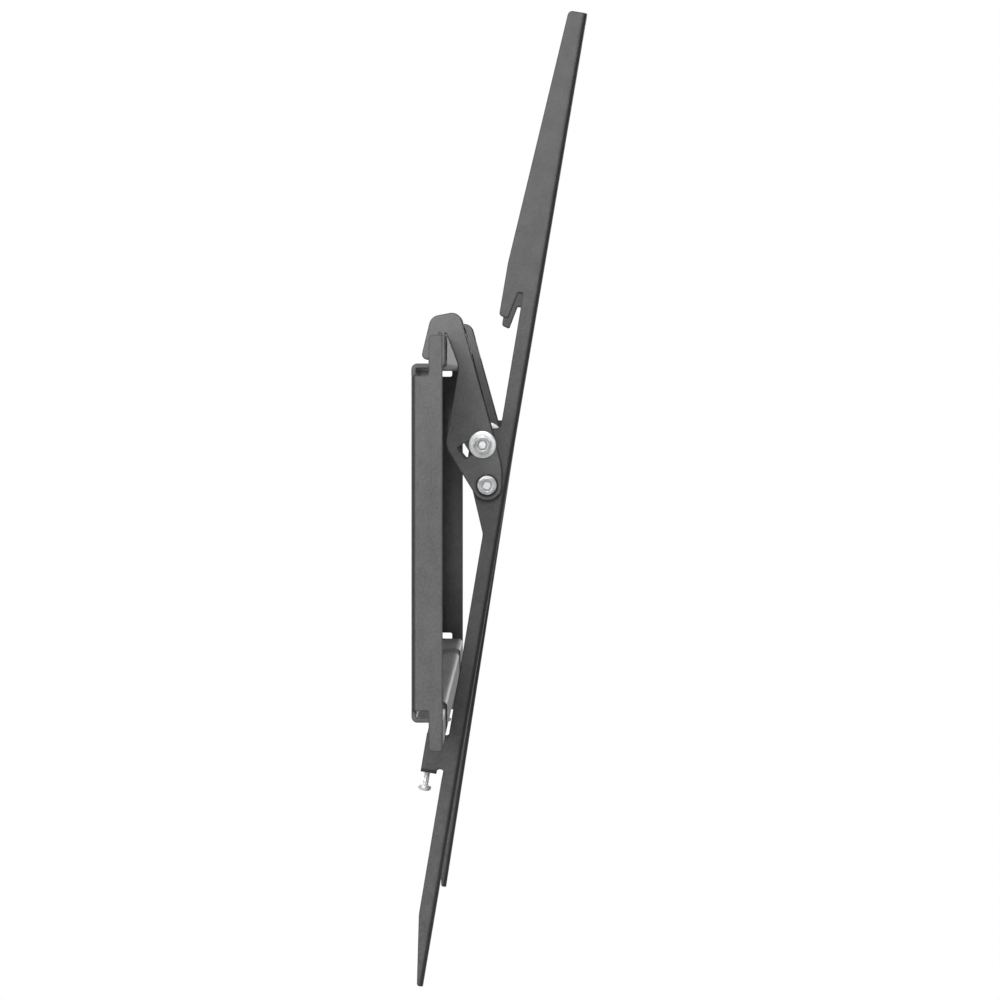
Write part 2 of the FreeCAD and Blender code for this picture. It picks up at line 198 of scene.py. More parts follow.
def grain_group() -> bpy.types.NodeTree:
    """Grain of a sprayed or cast skin: fine lumps, soft waves and broad clouds.

    Returns:
        A group with the inputs Vector, Grain (lumps per metre), Wave (waves per metre) and Cloud
        (clouds per metre), and the outputs Height, Speckle, Blotch and Cloud.
    """
    group, sheet, given, result = new_group(
        "skin grain",
        {"Vector": ("Vector", 0), "Grain": ("Float", 1800), "Wave": ("Float", 420),
         "Cloud": ("Float", 14)},
        {"Height": "Float", "Speckle": "Float", "Blotch": "Float", "Cloud": "Float"})
    lumps = sheet.add("TexNoise", Vector=given["Vector"], Scale=given["Grain"], Detail=2.0,
                      Roughness=0.6)
    waves = sheet.add("TexNoise", Vector=given["Vector"], Scale=given["Wave"], Detail=2.0,
                      Roughness=0.5)
    clouds = sheet.add("TexNoise", Vector=given["Vector"], Scale=given["Cloud"], Detail=4.0,
                       Roughness=0.55)
    height = sheet.math("ADD", sheet.math("MULTIPLY", lumps.outputs["Fac"], 0.6),
                        sheet.math("MULTIPLY", waves.outputs["Fac"], 0.4))
    sheet.feed(result.inputs["Height"], height)
    sheet.feed(result.inputs["Speckle"], sheet.ramp(lumps.outputs["Fac"], 0.35, 0.65))
    sheet.feed(result.inputs["Blotch"], sheet.ramp(waves.outputs["Fac"], 0.3, 0.7))
    sheet.feed(result.inputs["Cloud"], sheet.ramp(clouds.outputs["Fac"], 0.3, 0.7))
    return group


def edge_group() -> bpy.types.NodeTree:
    """Masks for rims and bends: painted shade on the rims and bends of paint, rubbed plating on
    rims, and patchy wear.

    A rim is where a rounded normal leans from the true one. The shade on bends is painted where the
    normal lies between the sheet's side, which faces along X, and its front or back, and stands in
    for bends turned away from the light. No joint turns a part out of X, so this painted shade
    stays where it is in every pose.

    Returns:
        A group with the inputs Vector, Radius (metres) and Patch (patches per metre), and the
        outputs Rim (every edge), Wear (only where it is patchy), the painted shade on bends (where
        the sheet turns between its sides and its front or back) and Rounded (the rounded normal).
    """
    group, sheet, given, result = new_group(
        "edge wear and painted shade",
        {"Vector": ("Vector", 0), "Radius": ("Float", 0.0008), "Patch": ("Float", 90)},
        {"Rim": "Float", "Wear": "Float", "BendShade": "Float", "Rounded": "Vector"})
    rounded = sheet.add("Bevel", {"samples": 6}, Radius=given["Radius"])
    surface = sheet.add("NewGeometry")
    lean = sheet.add("VectorMath", {"operation": "DOT_PRODUCT"})
    sheet.feed(lean.inputs[0], rounded.outputs["Normal"])
    sheet.feed(lean.inputs[1], surface.outputs["True Normal"])
    rim = sheet.ramp(lean.outputs["Value"], 0.995, 0.90)
    patches = sheet.add("TexNoise", Vector=given["Vector"], Scale=given["Patch"], Detail=5.0,
                        Roughness=0.6)
    wear = sheet.math("MULTIPLY", rim, sheet.ramp(patches.outputs["Fac"], 0.5, 0.72))
    sheet.feed(result.inputs["Rim"], rim)
    sheet.feed(result.inputs["Wear"], wear)
    # Painted shade on bends: strongest where the normal lies halfway between X and the sheet's
    # front or back.
    sideways = sheet.add("SeparateXYZ", Vector=surface.outputs["Normal"]).outputs["X"]
    square = sheet.math("MULTIPLY", sideways, sideways)
    turned = sheet.math("MULTIPLY", square, sheet.math("SUBTRACT", 1.0, square))
    sheet.feed(result.inputs["BendShade"], sheet.ramp(turned, 0.02, 0.20))
    sheet.feed(result.inputs["Rounded"], rounded.outputs["Normal"])
    return group


# --- Finishes -------------------------------------------------------------------------------------


@dataclass(frozen=True)
class Workshop:
    """The shared groups that every finish is made from."""

    grain: bpy.types.NodeTree
    edges: bpy.types.NodeTree

    @classmethod
    def open(cls) -> "Workshop":
        """Builds each shared group once."""
        return cls(grain_group(), edge_group())

    def start(self, name: str) -> tuple[bpy.types.Material, Sheet, bpy.types.Node,
                                        bpy.types.NodeSocket]:
        """Starts a material.

        Args:
            name: The material's name.

        Returns:
            The material, a sheet to fill it by, its Principled BSDF and its object coordinates.
        """
        material = bpy.data.materials.new(name)
        material.use_nodes = True
        sheet = Sheet(material.node_tree)
        shader = material.node_tree.nodes["Principled BSDF"]
        place = sheet.add("TexCoord").outputs["Object"]
        return material, sheet, shader, place

    def place_group(self, sheet: Sheet, group: bpy.types.NodeTree,
                    **values: object) -> bpy.types.Node:
        """Adds one of the shared groups to a material with its own values."""
        node = sheet.tree.nodes.new("ShaderNodeGroup")
        node.node_tree = group
        for key, value in values.items():
            sheet.feed(node.inputs[key], value)
        return node


@dataclass(frozen=True)
class PowderCoat:
    """Baked powder paint with a fine, slightly lumpy skin, with painted shade on its rims and bends
    and some patchy wear on its rims.
    """

    name: str
    base: Colour
    pale: Colour
    # rim is the dark colour of the painted shade on rims and bends, and of the patchy wear on rims.
    rim: Colour
    rim_strength: float = 0.75
    rim_width: float = 0.0010
    bend_shade_strength: float = 0.85
    wear_strength: float = 0.15
    cloud_share: float = 0.25
    blotch_share: float = 0.30
    speckle_share: float = 0.45
    roughness: float = 0.52
    specular: float = 0.35
    lump_depth: float = 0.00009

    def material(self, shop: Workshop) -> bpy.types.Material:
        """Builds the material.

        Args:
            shop: The shared groups.

        Returns:
            The finished material.
        """
        material, sheet, shader, place = shop.start(self.name)
        grain = shop.place_group(sheet, shop.grain, Vector=place, Grain=900.0, Wave=170.0,
                                 Cloud=18.0)
        edges = shop.place_group(sheet, shop.edges, Vector=place, Radius=self.rim_width,
                                 Patch=80.0)
        share = sheet.math("ADD",
                           sheet.math("MULTIPLY", grain.outputs["Cloud"], self.cloud_share),
                           sheet.math("MULTIPLY", grain.outputs["Blotch"], self.blotch_share))
        share = sheet.math("ADD", share,
                           sheet.math("MULTIPLY", grain.outputs["Speckle"], self.speckle_share))
        speckled = sheet.blend(share, self.base, self.pale)
        # Painted shade: rims and bends are drawn towards the dark rim colour, standing in for edges
        # and bends turned away from the light; the patchy wear on rims uses the same colour.
        rim = sheet.math("ADD", sheet.math("MULTIPLY", edges.outputs["Rim"], self.rim_strength),
                         sheet.math("MULTIPLY", edges.outputs["Wear"], self.wear_strength))
        bend_shade = sheet.math("MULTIPLY", edges.outputs["BendShade"], self.bend_shade_strength)
        shade_and_wear = sheet.math("MAXIMUM", rim, bend_shade)
        sheet.feed(shader.inputs["Base Color"], sheet.blend(shade_and_wear, speckled, self.rim))
        sheet.feed(shader.inputs["Roughness"], sheet.ramp(
            grain.outputs["Speckle"], 0.0, 1.0, self.roughness - 0.05, self.roughness + 0.07))
        shader.inputs["Specular IOR Level"].default_value = self.specular
        bump = sheet.add("Bump", Strength=0.55, Distance=self.lump_depth,
                         Height=grain.outputs["Height"], Normal=edges.outputs["Rounded"])
        sheet.feed(shader.inputs["Normal"], bump.outputs["Normal"])
        return material


@dataclass(frozen=True)
class ZincPlate:
    """Bright zinc over steel: metal with cloudy polish, fine scratches and brighter rims."""

    name: str
    bright: Colour
    dull: Colour
    polish: float = 0.36
    metal: float = 0.6
    scratch_scale: float = 900.0
    rim_strength: float = 0.6

    def material(self, shop: Workshop) -> bpy.types.Material:
        """Builds the material.

        Args:
            shop: The shared groups.

        Returns:
            The finished material.
        """
        material, sheet, shader, place = shop.start(self.name)
        grain = shop.place_group(sheet, shop.grain, Vector=place, Grain=2600.0, Wave=900.0,
                                 Cloud=260.0)
        edges = shop.place_group(sheet, shop.edges, Vector=place, Radius=0.0003, Patch=400.0)
        tarnish = sheet.blend(grain.outputs["Cloud"], self.bright, self.dull)
        sheet.feed(shader.inputs["Base Color"],
                   sheet.blend(sheet.math("MULTIPLY", edges.outputs["Rim"], self.rim_strength),
                               tarnish, self.bright))
        stretched = sheet.add("Mapping", Vector=place, Scale=(1.0, 6.0, 1.0))
        scratches = sheet.add("TexNoise", Vector=stretched.outputs["Vector"],
                              Scale=self.scratch_scale, Detail=3.0)
        sheet.feed(shader.inputs["Roughness"], sheet.ramp(
            scratches.outputs["Fac"], 0.3, 0.7, self.polish - 0.06, self.polish + 0.12))
        shader.inputs["Metallic"].default_value = self.metal
        bump = sheet.add("Bump", Strength=0.25, Distance=0.00002, Height=grain.outputs["Height"])
        sheet.feed(shader.inputs["Normal"], bump.outputs["Normal"])
        return material


@dataclass(frozen=True)
class Nylon:
    """Moulded nylon, milky or black, with a satin skin."""

    name: str
    colour: Colour
    shade: Colour
    roughness: float = 0.42
    depth: float = 0.0

    def material(self, shop: Workshop) -> bpy.types.Material:
        """Builds the material.

        Args:
            shop: The shared groups.

        Returns:
            The finished material.
        """
        material, sheet, shader, place = shop.start(self.name)
        grain = shop.place_group(sheet, shop.grain, Vector=place, Grain=2200.0, Wave=700.0,
                                 Cloud=300.0)
        sheet.feed(shader.inputs["Base Color"],
                   sheet.blend(grain.outputs["Cloud"], self.colour, self.shade))
        sheet.feed(shader.inputs["Roughness"], sheet.ramp(
            grain.outputs["Speckle"], 0.0, 1.0, self.roughness - 0.05, self.roughness + 0.08))
        shader.inputs["Subsurface Weight"].default_value = self.depth
        shader.inputs["Subsurface Radius"].default_value = (0.001, 0.001, 0.001)
        bump = sheet.add("Bump", Strength=0.3, Distance=0.00003, Height=grain.outputs["Height"])
        sheet.feed(shader.inputs["Normal"], bump.outputs["Normal"])
        return material


# --- Meshes ---------------------------------------------------------------------------------------


def axis_frame(origin: Vector, direction: Vector, spin: float = 0.0) -> Matrix:
    """Place of a lathed piece.

    Args:
        origin: Where the piece's own origin goes.
        direction: Where its own +Z points.
        spin: Turn about that axis, in radians.

    Returns:
        The matrix that puts the piece there.
    """
    turn = direction.to_track_quat("Z", "Y").to_matrix().to_4x4()
    return Matrix.Translation(origin) @ turn @ Matrix.Rotation(spin, 4, "Z")


def finish_mesh(name: str, mesh: bmesh.types.BMesh, place: Matrix, material: bpy.types.Material,
                smooth_angle: float = 38.0) -> bpy.types.Object:
    """Turns a bmesh into a piece at the origin, with its place in its mesh.

    Args:
        name: The piece's name.
        mesh: Its shape in its own axes; it is freed.
        place: Where it goes.
        material: Its finish.
        smooth_angle: Edges that turn by more than this many degrees stay sharp.

    Returns:
        The linked object.
    """
    bmesh.ops.remove_doubles(mesh, verts=mesh.verts, dist=1e-7)
    bmesh.ops.recalc_face_normals(mesh, faces=mesh.faces)
    bmesh.ops.transform(mesh, matrix=place, verts=mesh.verts)
    limit = math.radians(smooth_angle)
    for face in mesh.faces:
        face.smooth = True
    for edge in mesh.edges:
        edge.smooth = edge.is_manifold and edge.calc_face_angle(0.0) < limit
    data = bpy.data.meshes.new(name)
    mesh.to_mesh(data)
    mesh.free()
    piece = bpy.data.objects.new(name, data)
    bpy.context.scene.collection.objects.link(piece)
    data.materials.append(material)
    return piece


def lathe(profile: Sequence[tuple[float, float, float]], segments: int = 64,
          closed: bool = True) -> bmesh.types.BMesh:
    """Spins a section about Z.

    Args:
        profile: Corners (radius, height, rounding) in metres, in order round the section.
        segments: Facets in a full turn.
        closed: Whether the last corner joins the first; an open section starts and ends on the
            axis.

    Returns:
        The closed shape.
    """
    mesh = bmesh.new()
    corners = [mesh.verts.new((radius, 0, height)) for radius, height, _ in profile]
    pairs = list(zip(corners, corners[1:]))
    if closed:
        pairs.append((corners[-1], corners[0]))
    for first, second in pairs:
        mesh.edges.new((first, second))
    for corner, (_, _, rounding) in zip(corners, profile):
        if rounding > 0:
            bmesh.ops.bevel(mesh, geom=[corner], offset=rounding, affect="VERTICES", segments=3,
                            profile=0.5, material=-1)
    bmesh.ops.spin(mesh, geom=mesh.verts[:] + mesh.edges[:], axis=(0, 0, 1), cent=(0, 0, 0),
                   angle=FULL_TURN, steps=segments, use_merge=True)
    bmesh.ops.remove_doubles(mesh, verts=mesh.verts, dist=1e-7)
    return mesh


class RingStack:
    """A tube grown ring by ring along Z, whose rings may be hexagonal or round."""

    FACETS_PER_FLAT = 8

    def __init__(self, across_flats: float) -> None:
        """Starts on a hexagon that is divided evenly along its flats.

        Args:
            across_flats: Width of the hexagon.
        """
        self.mesh = bmesh.new()
        bmesh.ops.create_circle(self.mesh, radius=across_flats / math.sqrt(3), segments=6)
        bmesh.ops.subdivide_edges(self.mesh, edges=self.mesh.edges[:],
                                  cuts=self.FACETS_PER_FLAT - 1)
        self.hexagon = [vert.co.copy() for vert in self.mesh.verts]
        self.edges = self.mesh.edges[:]
        self.verts: Ring = self.mesh.verts[:]
        self.first_edges = self.edges

    def shape(self, place: Callable[[Vector], tuple[float, float]]) -> None:
        """Gives each vertex of the newest ring its radius and height.

        Args:
            place: Radius and height from the vertex's point on the hexagon.
        """
        for vert, corner in zip(self.verts, self.hexagon):
            radius, height = place(corner)
            heading = Vector((corner.x, corner.y, 0)).normalized()
            vert.co = heading * radius + Vector((0, 0, height))

    def grow(self) -> None:
        """Extrudes the newest ring into another one on top of it."""
        made = bmesh.ops.extrude_edge_only(self.mesh, edges=self.edges)["geom"]
        fresh = [part for part in made if isinstance(part, bmesh.types.BMVert)]
        lookup = {(round(vert.co.x, 9), round(vert.co.y, 9), round(vert.co.z, 9)): vert
                  for vert in fresh}
        self.verts = [lookup[(round(old.co.x, 9), round(old.co.y, 9), round(old.co.z, 9))]
                      for old in self.verts]
        self.edges = [part for part in made if isinstance(part, bmesh.types.BMEdge)
                      and part.verts[0] in fresh and part.verts[1] in fresh]

    def round_to(self, radius: float, height: float) -> None:
        """Adds a round ring."""
        self.grow()
        self.shape(lambda corner: (radius, height))

    def join_ends(self) -> None:
        """Bridges the newest ring to the first, which closes the shape."""
        bmesh.ops.bridge_loops(self.mesh, edges=self.edges + self.first_edges)

    def cap(self) -> None:
        """Fills the newest ring with one face."""
        bmesh.ops.edgeloop_fill(self.mesh, edges=self.edges)


@dataclass(frozen=True)
class HexShape:
    """A hexagon whose corners are cut back by cones, as a die leaves them."""

    FLANGE_EDGE = 0.12 * MM

    across_flats: float
    height: float
    land: float
    cone_slope: float = math.tan(math.radians(30))

    def cut_back(self, corner: Vector) -> float:
        """How far the cone takes a point on the hexagon off the end face."""
        return max(0.0, corner.length - self.land) * self.cone_slope

    def on_flange(self, radius: float, height: float) -> RingStack:
        """Grows a thin round flange with the hexagon on top of it.

        Args:
            radius: Radius of the flange.
            height: Thickness of the flange.

        Returns:
            The stack, whose newest ring is the round land on top.
        """
        edge = self.FLANGE_EDGE
        stack = RingStack(self.across_flats)
        stack.shape(lambda corner: (radius - edge, 0.0))
        stack.round_to(radius, edge)
        stack.round_to(radius, height - edge)
        stack.round_to(radius - edge, height)
        stack.grow()
        stack.shape(lambda corner: (min(corner.length, radius - 1.5 * edge), height + edge / 4))
        stack.grow()
        stack.shape(lambda corner: (corner.length, height + self.height - self.cut_back(corner)))
        stack.round_to(self.land, height + self.height)
        return stack

    def stand(self, base: float = 0.0) -> RingStack:
        """Grows the hexagon up from a round land on its underside.

        Args:
            base: Height of the underside.

        Returns:
            The stack, whose newest ring is the round land on top.
        """
        stack = RingStack(self.across_flats)
        stack.shape(lambda corner: (self.land, base))
        stack.grow()
        stack.shape(lambda corner: (corner.length, base + self.cut_back(corner)))
        stack.grow()
        stack.shape(lambda corner: (corner.length, base + self.height - self.cut_back(corner)))
        stack.round_to(self.land, base + self.height)
        return stack


@dataclass(frozen=True)
class Thread:
    """A metric external thread."""

    DEPTH_SHARE = 0.6
    FLAT_SHARE = 0.12
    FLANK_SHARE = 0.76
    CHAMFER_DEPTH = 1.15
    CHAMFER_SLOPE = 1.1

    major: float
    pitch: float

    @property
    def depth(self) -> float:
        """Depth from crest to root."""
        return self.DEPTH_SHARE * self.pitch

    def radius(self, heading: float, height: float) -> float:
        """Radius of the thread's surface.

        Args:
            heading: Angle about the axis, in radians.
            height: Place along the axis.

        Returns:
            The radius there.
        """
        phase = (height / self.pitch - heading / FULL_TURN) % 1.0
        flank = abs(2 * phase - 1)
        crest = min(1.0, max(0.0, (flank - self.FLAT_SHARE) / self.FLANK_SHARE))
        return self.major / 2 - self.depth * (1 - crest)

    def rod(self, start: float, end: float, segments: int = 36,
            rings_per_turn: int = 9) -> bmesh.types.BMesh:
        """Threaded rod along Z with a chamfer at each end.

        Args:
            start: Height of the lower end.
            end: Height of the upper end.
            segments: Facets in a turn.
            rings_per_turn: Rings in one pitch.

        Returns:
            The closed rod.
        """
        mesh = bmesh.new()
        bmesh.ops.create_circle(mesh, radius=self.major / 2, segments=segments,
                                matrix=Matrix.Translation((0, 0, start)))
        steps = max(2, round((end - start) / self.pitch * rings_per_turn))
        bmesh.ops.spin(mesh, geom=mesh.verts[:] + mesh.edges[:], angle=0.0, steps=steps,
                       axis=(0, 0, 1), cent=(0, 0, 0), dvec=(0, 0, (end - start) / steps))
        root = self.major / 2 - self.depth * self.CHAMFER_DEPTH
        for vert in mesh.verts:
            heading = math.atan2(vert.co.y, vert.co.x)
            from_end = min(vert.co.z - start, end - vert.co.z)
            limit = root + from_end * self.CHAMFER_SLOPE
            radius = min(self.radius(heading, vert.co.z), limit)
            vert.co.x = radius * math.cos(heading)
            vert.co.y = radius * math.sin(heading)
        rims = [edge for edge in mesh.edges if edge.is_boundary]
        bmesh.ops.holes_fill(mesh, edges=rims, sides=0)
        return mesh


def joined(*meshes: bmesh.types.BMesh) -> bmesh.types.BMesh:
    """Puts several closed shells into the first one and frees the rest."""
    whole = meshes[0]
    for part in meshes[1:]:
        carrier = bpy.data.meshes.new("carrier")
        part.to_mesh(carrier)
        whole.from_mesh(carrier)
        bpy.data.meshes.remove(carrier)
        part.free()
    return whole


# --- Sheet metal ----------------------------------------------------------------------------------


@dataclass
class SheetPart:
    """A laser-cut and bent part: the frame's solid, with every cut rim softened."""

    node: str
    body: str
    slot: str
    finish: bpy.types.Material
    rim: float = 0.22 * MM
    sharp_angle: float = 40.0

    def build(self) -> bpy.types.Object:
        """Copies the solid, welds it, softens its rims and puts it on its body.

        Returns:
            The piece that stands for the node.
        """
        mesh = bmesh.new()
        mesh.from_mesh(frame["nodes"][self.node].data)
        bmesh.ops.remove_doubles(mesh, verts=mesh.verts, dist=1e-6)
        bmesh.ops.dissolve_limit(mesh, angle_limit=math.radians(0.3), verts=mesh.verts,
                                 edges=mesh.edges, use_dissolve_boundaries=False)
        limit = math.radians(self.sharp_angle)
        rims = [edge for edge in mesh.edges
                if edge.is_manifold and edge.calc_face_angle(0.0) > limit]
        bmesh.ops.bevel(mesh, geom=rims, offset=self.rim, affect="EDGES", segments=2,
                        profile=0.5, clamp_overlap=True, material=-1)
        for face in mesh.faces:
            face.smooth = True
        data = bpy.data.meshes.new(self.node + "_sheet")
        mesh.to_mesh(data)
        mesh.free()
        piece = bpy.data.objects.new(self.node + "_sheet", data)
        bpy.context.scene.collection.objects.link(piece)
        data.materials.append(self.finish)
        weighted = piece.modifiers.new("flat faces stay flat", "WEIGHTED_NORMAL")
        weighted.weight = 100
        weighted.keep_sharp = False
        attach(piece, self.body)
        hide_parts(self.node)
        LOG.info("sheet part %s: %d faces", self.node, len(data.polygons))
        return piece


# --- Hardware -------------------------------------------------------------------------------------


def node_middle(node: str) -> Vector:
    """Middle of a frame node's box."""
    low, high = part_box(node)
    return (low + high) / 2


def node_seat(node: str, side: Side) -> Vector:
    """Point on a node's axis where its box begins on the inboard side.

    Args:
        node: The frame's node.
        side: Which hanger it belongs to.

    Returns:
        The point, at the middle of the box across the axis.
    """
    low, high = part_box(node)
    middle = (low + high) / 2
    return Vector((high.x if side is Side.LEFT else low.x, middle.y, middle.z))


@dataclass
class Hardware:
    """The bolts, nuts, washers and discs of one hanger and its arm."""

    NUT_LAND = 3.28 * MM
    HEAD_LAND = 3.2 * MM
    RECESS_LENGTH = 3.1 * MM
    RECESS_WIDTH = 0.62 * MM
    RECESS_HEIGHT = 2.6 * MM
    RECESS_TAPER = 0.55

    side: Side
    zinc: bpy.types.Material
    steel: bpy.types.Material
    milky: bpy.types.Material
    black: bpy.types.Material
    across_flats: float = 7.0 * MM
    nut_hex: float = 3.4 * MM
    nut_collar: float = 1.6 * MM
    nut_flange: float = 8.3 * MM
    nut_flange_height: float = 0.7 * MM
    head_height: float = 2.8 * MM
    shank: float = 3.98 * MM
    pitch: float = 0.7 * MM
    thread_length: float = 14.0 * MM
    lock_shank: float = 2.98 * MM
    lock_pitch: float = 0.5 * MM

    def settle(self, piece: bpy.types.Object, node: str, body: str) -> None:
        """Puts a piece on its body in place of its node.

        Args:
            piece: The finished piece.
            node: The node it stands for, without the side.
            body: The body it rides on, without the side.
        """
        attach(piece, self.side.body(body))
        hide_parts(self.side.node(node))
        LOG.info("%s on %s", piece.name, self.side.body(body))

    def lock_nut(self, node: str, body: str, spin: float) -> None:
        """Nut with a rolled collar, and the nylon ring that the collar holds.

        Args:
            node: The nut's node, without the side.
            body: Its body, without the side.
            spin: Turn about its axis, in radians.
        """
        seat = node_seat(self.side.node(node), self.side)
        place = axis_frame(seat, self.side.outward, spin)
        top = self.nut_hex
        lip = top + self.nut_collar
        hexagon = HexShape(self.across_flats, top - self.nut_flange_height, self.NUT_LAND)
        stack = hexagon.on_flange(self.nut_flange / 2, self.nut_flange_height)
        # Radius in mm and height: up the collar, over its rolled lip and down through the bore.
        for radius, height in ((3.12, top + 0.02 * MM), (3.10, top + 0.9 * MM),
                               (3.05, top + 1.2 * MM), (2.92, lip - 0.12 * MM),
                               (2.78, lip - 0.02 * MM), (2.66, lip - 0.04 * MM),
                               (2.60, lip - 0.16 * MM), (2.66, lip - 0.34 * MM),
                               (2.66, top + 0.3 * MM), (2.25, top + 0.3 * MM),
                               (2.03, top + 0.12 * MM), (2.03, 0.35 * MM), (2.35, 0.0)):
            stack.round_to(radius * MM, height)
        stack.join_ends()
        nut = finish_mesh(self.side.node(node) + "_hex", stack.mesh, place, self.zinc)
        self.settle(nut, node, body)
        ring = lathe([(2.02 * MM, top + 0.34 * MM, 0.0), (2.02 * MM, lip - 0.28 * MM, 0.18 * MM),
                      (2.62 * MM, lip - 0.22 * MM, 0.15 * MM), (2.62 * MM, top + 0.34 * MM, 0.0)])
        piece = finish_mesh(self.side.node(node) + "_nylon", ring, place, self.milky)
        self.settle(piece, node + "_ring", body)

    def hex_bolt(self, node: str, body: str, spin: float) -> None:
        """Bolt with a hexagonal head inboard and a rolled thread at its outer end.

        Args:
            node: The bolt's node, without the side.
            body: Its body, without the side.
            spin: Turn about its axis, in radians.
        """
        low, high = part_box(self.side.node(node))
        length = high.x - low.x
        middle = node_middle(self.side.node(node))
        head_end = middle - self.side.outward * (length / 2)
        place = axis_frame(head_end, self.side.outward, spin)
        head = HexShape(self.across_flats, self.head_height, self.HEAD_LAND).stand()
        head.round_to(self.shank / 2 + 0.25 * MM, self.head_height)
        head.round_to(self.shank / 2 - 0.1 * MM, self.head_height + 0.15 * MM)
        head.cap()
        head.edges = head.first_edges
        head.cap()
        plain_end = length - self.thread_length
        plain = lathe([(0.0, 0.6 * self.head_height, 0.0),
                       (self.shank / 2 - 0.05 * MM, 0.6 * self.head_height, 0.0),
                       (self.shank / 2 - 0.05 * MM, plain_end + 0.3 * MM, 0.2 * MM),
                       (0.0, plain_end + 0.3 * MM, 0.0)], closed=False)
        thread = Thread(self.shank, self.pitch).rod(plain_end, length)
        bolt = finish_mesh(self.side.node(node) + "_shank", joined(head.mesh, plain, thread),
                           place, self.zinc)
        self.settle(bolt, node, body)

    def washer(self, node: str, body: str, inside: float) -> None:
        """Stamped washer, rounded on one face and sharp on the other.

        Args:
            node: The washer's node, without the side.
            body: Its body, without the side.
            inside: Diameter of its hole.
        """
        low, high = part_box(self.side.node(node))
        outside = (high.z - low.z) / 2
        thickness = high.x - low.x
        middle = node_middle(self.side.node(node))
        place = axis_frame(middle, self.side.outward)
        half = thickness / 2
        shape = lathe([(inside / 2, -half, 0.05 * MM), (inside / 2, half, 0.12 * MM),
                       (outside, half, 0.28 * MM), (outside, -half, 0.06 * MM)], segments=96)
        self.settle(finish_mesh(self.side.node(node) + "_disc", shape, place, self.zinc), node,
                    body)

    def tube(self, node: str, body: str, bore: float, outside: float,
             material: bpy.types.Material) -> None:
        """Plain tube between two faces.

        Args:
            node: The tube's node, without the side.
            body: Its body, without the side.
            bore: Diameter of its hole.
            outside: Its outer diameter.
            material: Its finish.
        """
        low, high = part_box(self.side.node(node))
        half = (high.x - low.x) / 2
        place = axis_frame(node_middle(self.side.node(node)), self.side.outward)
        shape = lathe([(bore / 2, -half, 0.2 * MM), (bore / 2, half, 0.2 * MM),
                       (outside / 2, half, 0.2 * MM), (outside / 2, -half, 0.2 * MM)])
        piece = finish_mesh(self.side.node(node) + "_tube", shape, place, material)
        self.settle(piece, node, body)

    def disc_pair(self, node: str, body: str, bore: float, outside: float,
                  thickness: float) -> None:
        """Two equal discs at the ends of a node's box, joined into one piece.

        Args:
            node: The discs' node, without the side.
            body: Its body, without the side.
            bore: Diameter of the holes.
            outside: Outer diameter.
            thickness: Thickness of each disc.
        """
        low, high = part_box(self.side.node(node))
        reach = (high.x - low.x - thickness) / 2
        half = thickness / 2
        discs = []
        for shift in (-reach, reach):
            disc = lathe([(bore / 2, -half, 0.08 * MM), (bore / 2, half, 0.08 * MM),
                          (outside / 2, half, 0.15 * MM), (outside / 2, -half, 0.15 * MM)])
            bmesh.ops.translate(disc, verts=disc.verts, vec=(0, 0, shift))
            discs.append(disc)
        place = axis_frame(node_middle(self.side.node(node)), self.side.outward)
        piece = finish_mesh(self.side.node(node) + "_pair", joined(*discs), place, self.black)
        self.settle(piece, node, body)

    def lock_screw(self) -> None:
        """Pan-head screw with a cross recess, standing along the arm below its tab."""
        record = next(joint for joint in frame["joints"]
                      if joint["name"] == self.side.node("lock_travel"))
        along = Vector(record["axis"]).normalized()
        points = [vert.co for vert in frame["nodes"][self.side.node("lock_screw")].data.vertices]
        reach = [point.dot(along) for point in points]
        middle = node_middle(self.side.node("lock_screw"))
        foot = middle + along * (min(reach) - middle.dot(along))
        foot.x = middle.x
        length = max(reach) - min(reach)
        place = axis_frame(foot, along)
        head = lathe([(0.0, 0.0, 0.0), (1.6 * MM, 0.03 * MM, 0.4 * MM),
                      (2.80 * MM, 0.62 * MM, 0.5 * MM), (2.95 * MM, 1.6 * MM, 0.3 * MM),
                      (2.85 * MM, 2.2 * MM, 0.08 * MM), (1.55 * MM, 2.2 * MM, 0.1 * MM),
                      (0.0, 2.3 * MM, 0.0)], closed=False)
        thread = Thread(self.lock_shank, self.lock_pitch).rod(2.0 * MM, length, segments=28,
                                                              rings_per_turn=7)
        head = self.cross_recess(head)
        piece = finish_mesh(self.side.node("lock_screw") + "_pan", joined(head, thread), place,
                            self.zinc)
        self.settle(piece, "lock_screw", "lock")

    def cross_recess(self, head: bmesh.types.BMesh) -> bmesh.types.BMesh:
        """Cuts a tapered cross into the underside of a screw head.

        Args:
            head: The closed head, with its free face at height 0; it is freed.

        Returns:
            The head with its recess.
        """
        scene = bpy.context.scene
        shells = []
        cutter = bmesh.new()
        for width, depth in ((self.RECESS_LENGTH, self.RECESS_WIDTH),
                             (self.RECESS_WIDTH, self.RECESS_LENGTH)):
            made = bmesh.ops.create_cube(cutter, size=1.0)["verts"]
            bmesh.ops.scale(cutter, vec=(width, depth, self.RECESS_HEIGHT), verts=made)
            for vert in made:
                if vert.co.z > 0:
                    vert.co.x *= self.RECESS_TAPER
                    vert.co.y *= self.RECESS_TAPER
        for shape in (head, cutter):
            data = bpy.data.meshes.new("recess work")
            shape.to_mesh(data)
            shape.free()
            shell = bpy.data.objects.new("recess work", data)
            scene.collection.objects.link(shell)
            shells.append(shell)
        blank, tool = shells
        cut = blank.modifiers.new("recess", "BOOLEAN")
        cut.operation = "DIFFERENCE"
        cut.solver = "EXACT"
        cut.use_self = True
        cut.object = tool
        evaluated = blank.evaluated_get(bpy.context.evaluated_depsgraph_get())
        result = bmesh.new()
        result.from_mesh(evaluated.to_mesh())
        evaluated.to_mesh_clear()
        for shell in shells:
            work = shell.data
            bpy.data.objects.remove(shell)
            bpy.data.meshes.remove(work)
        return result

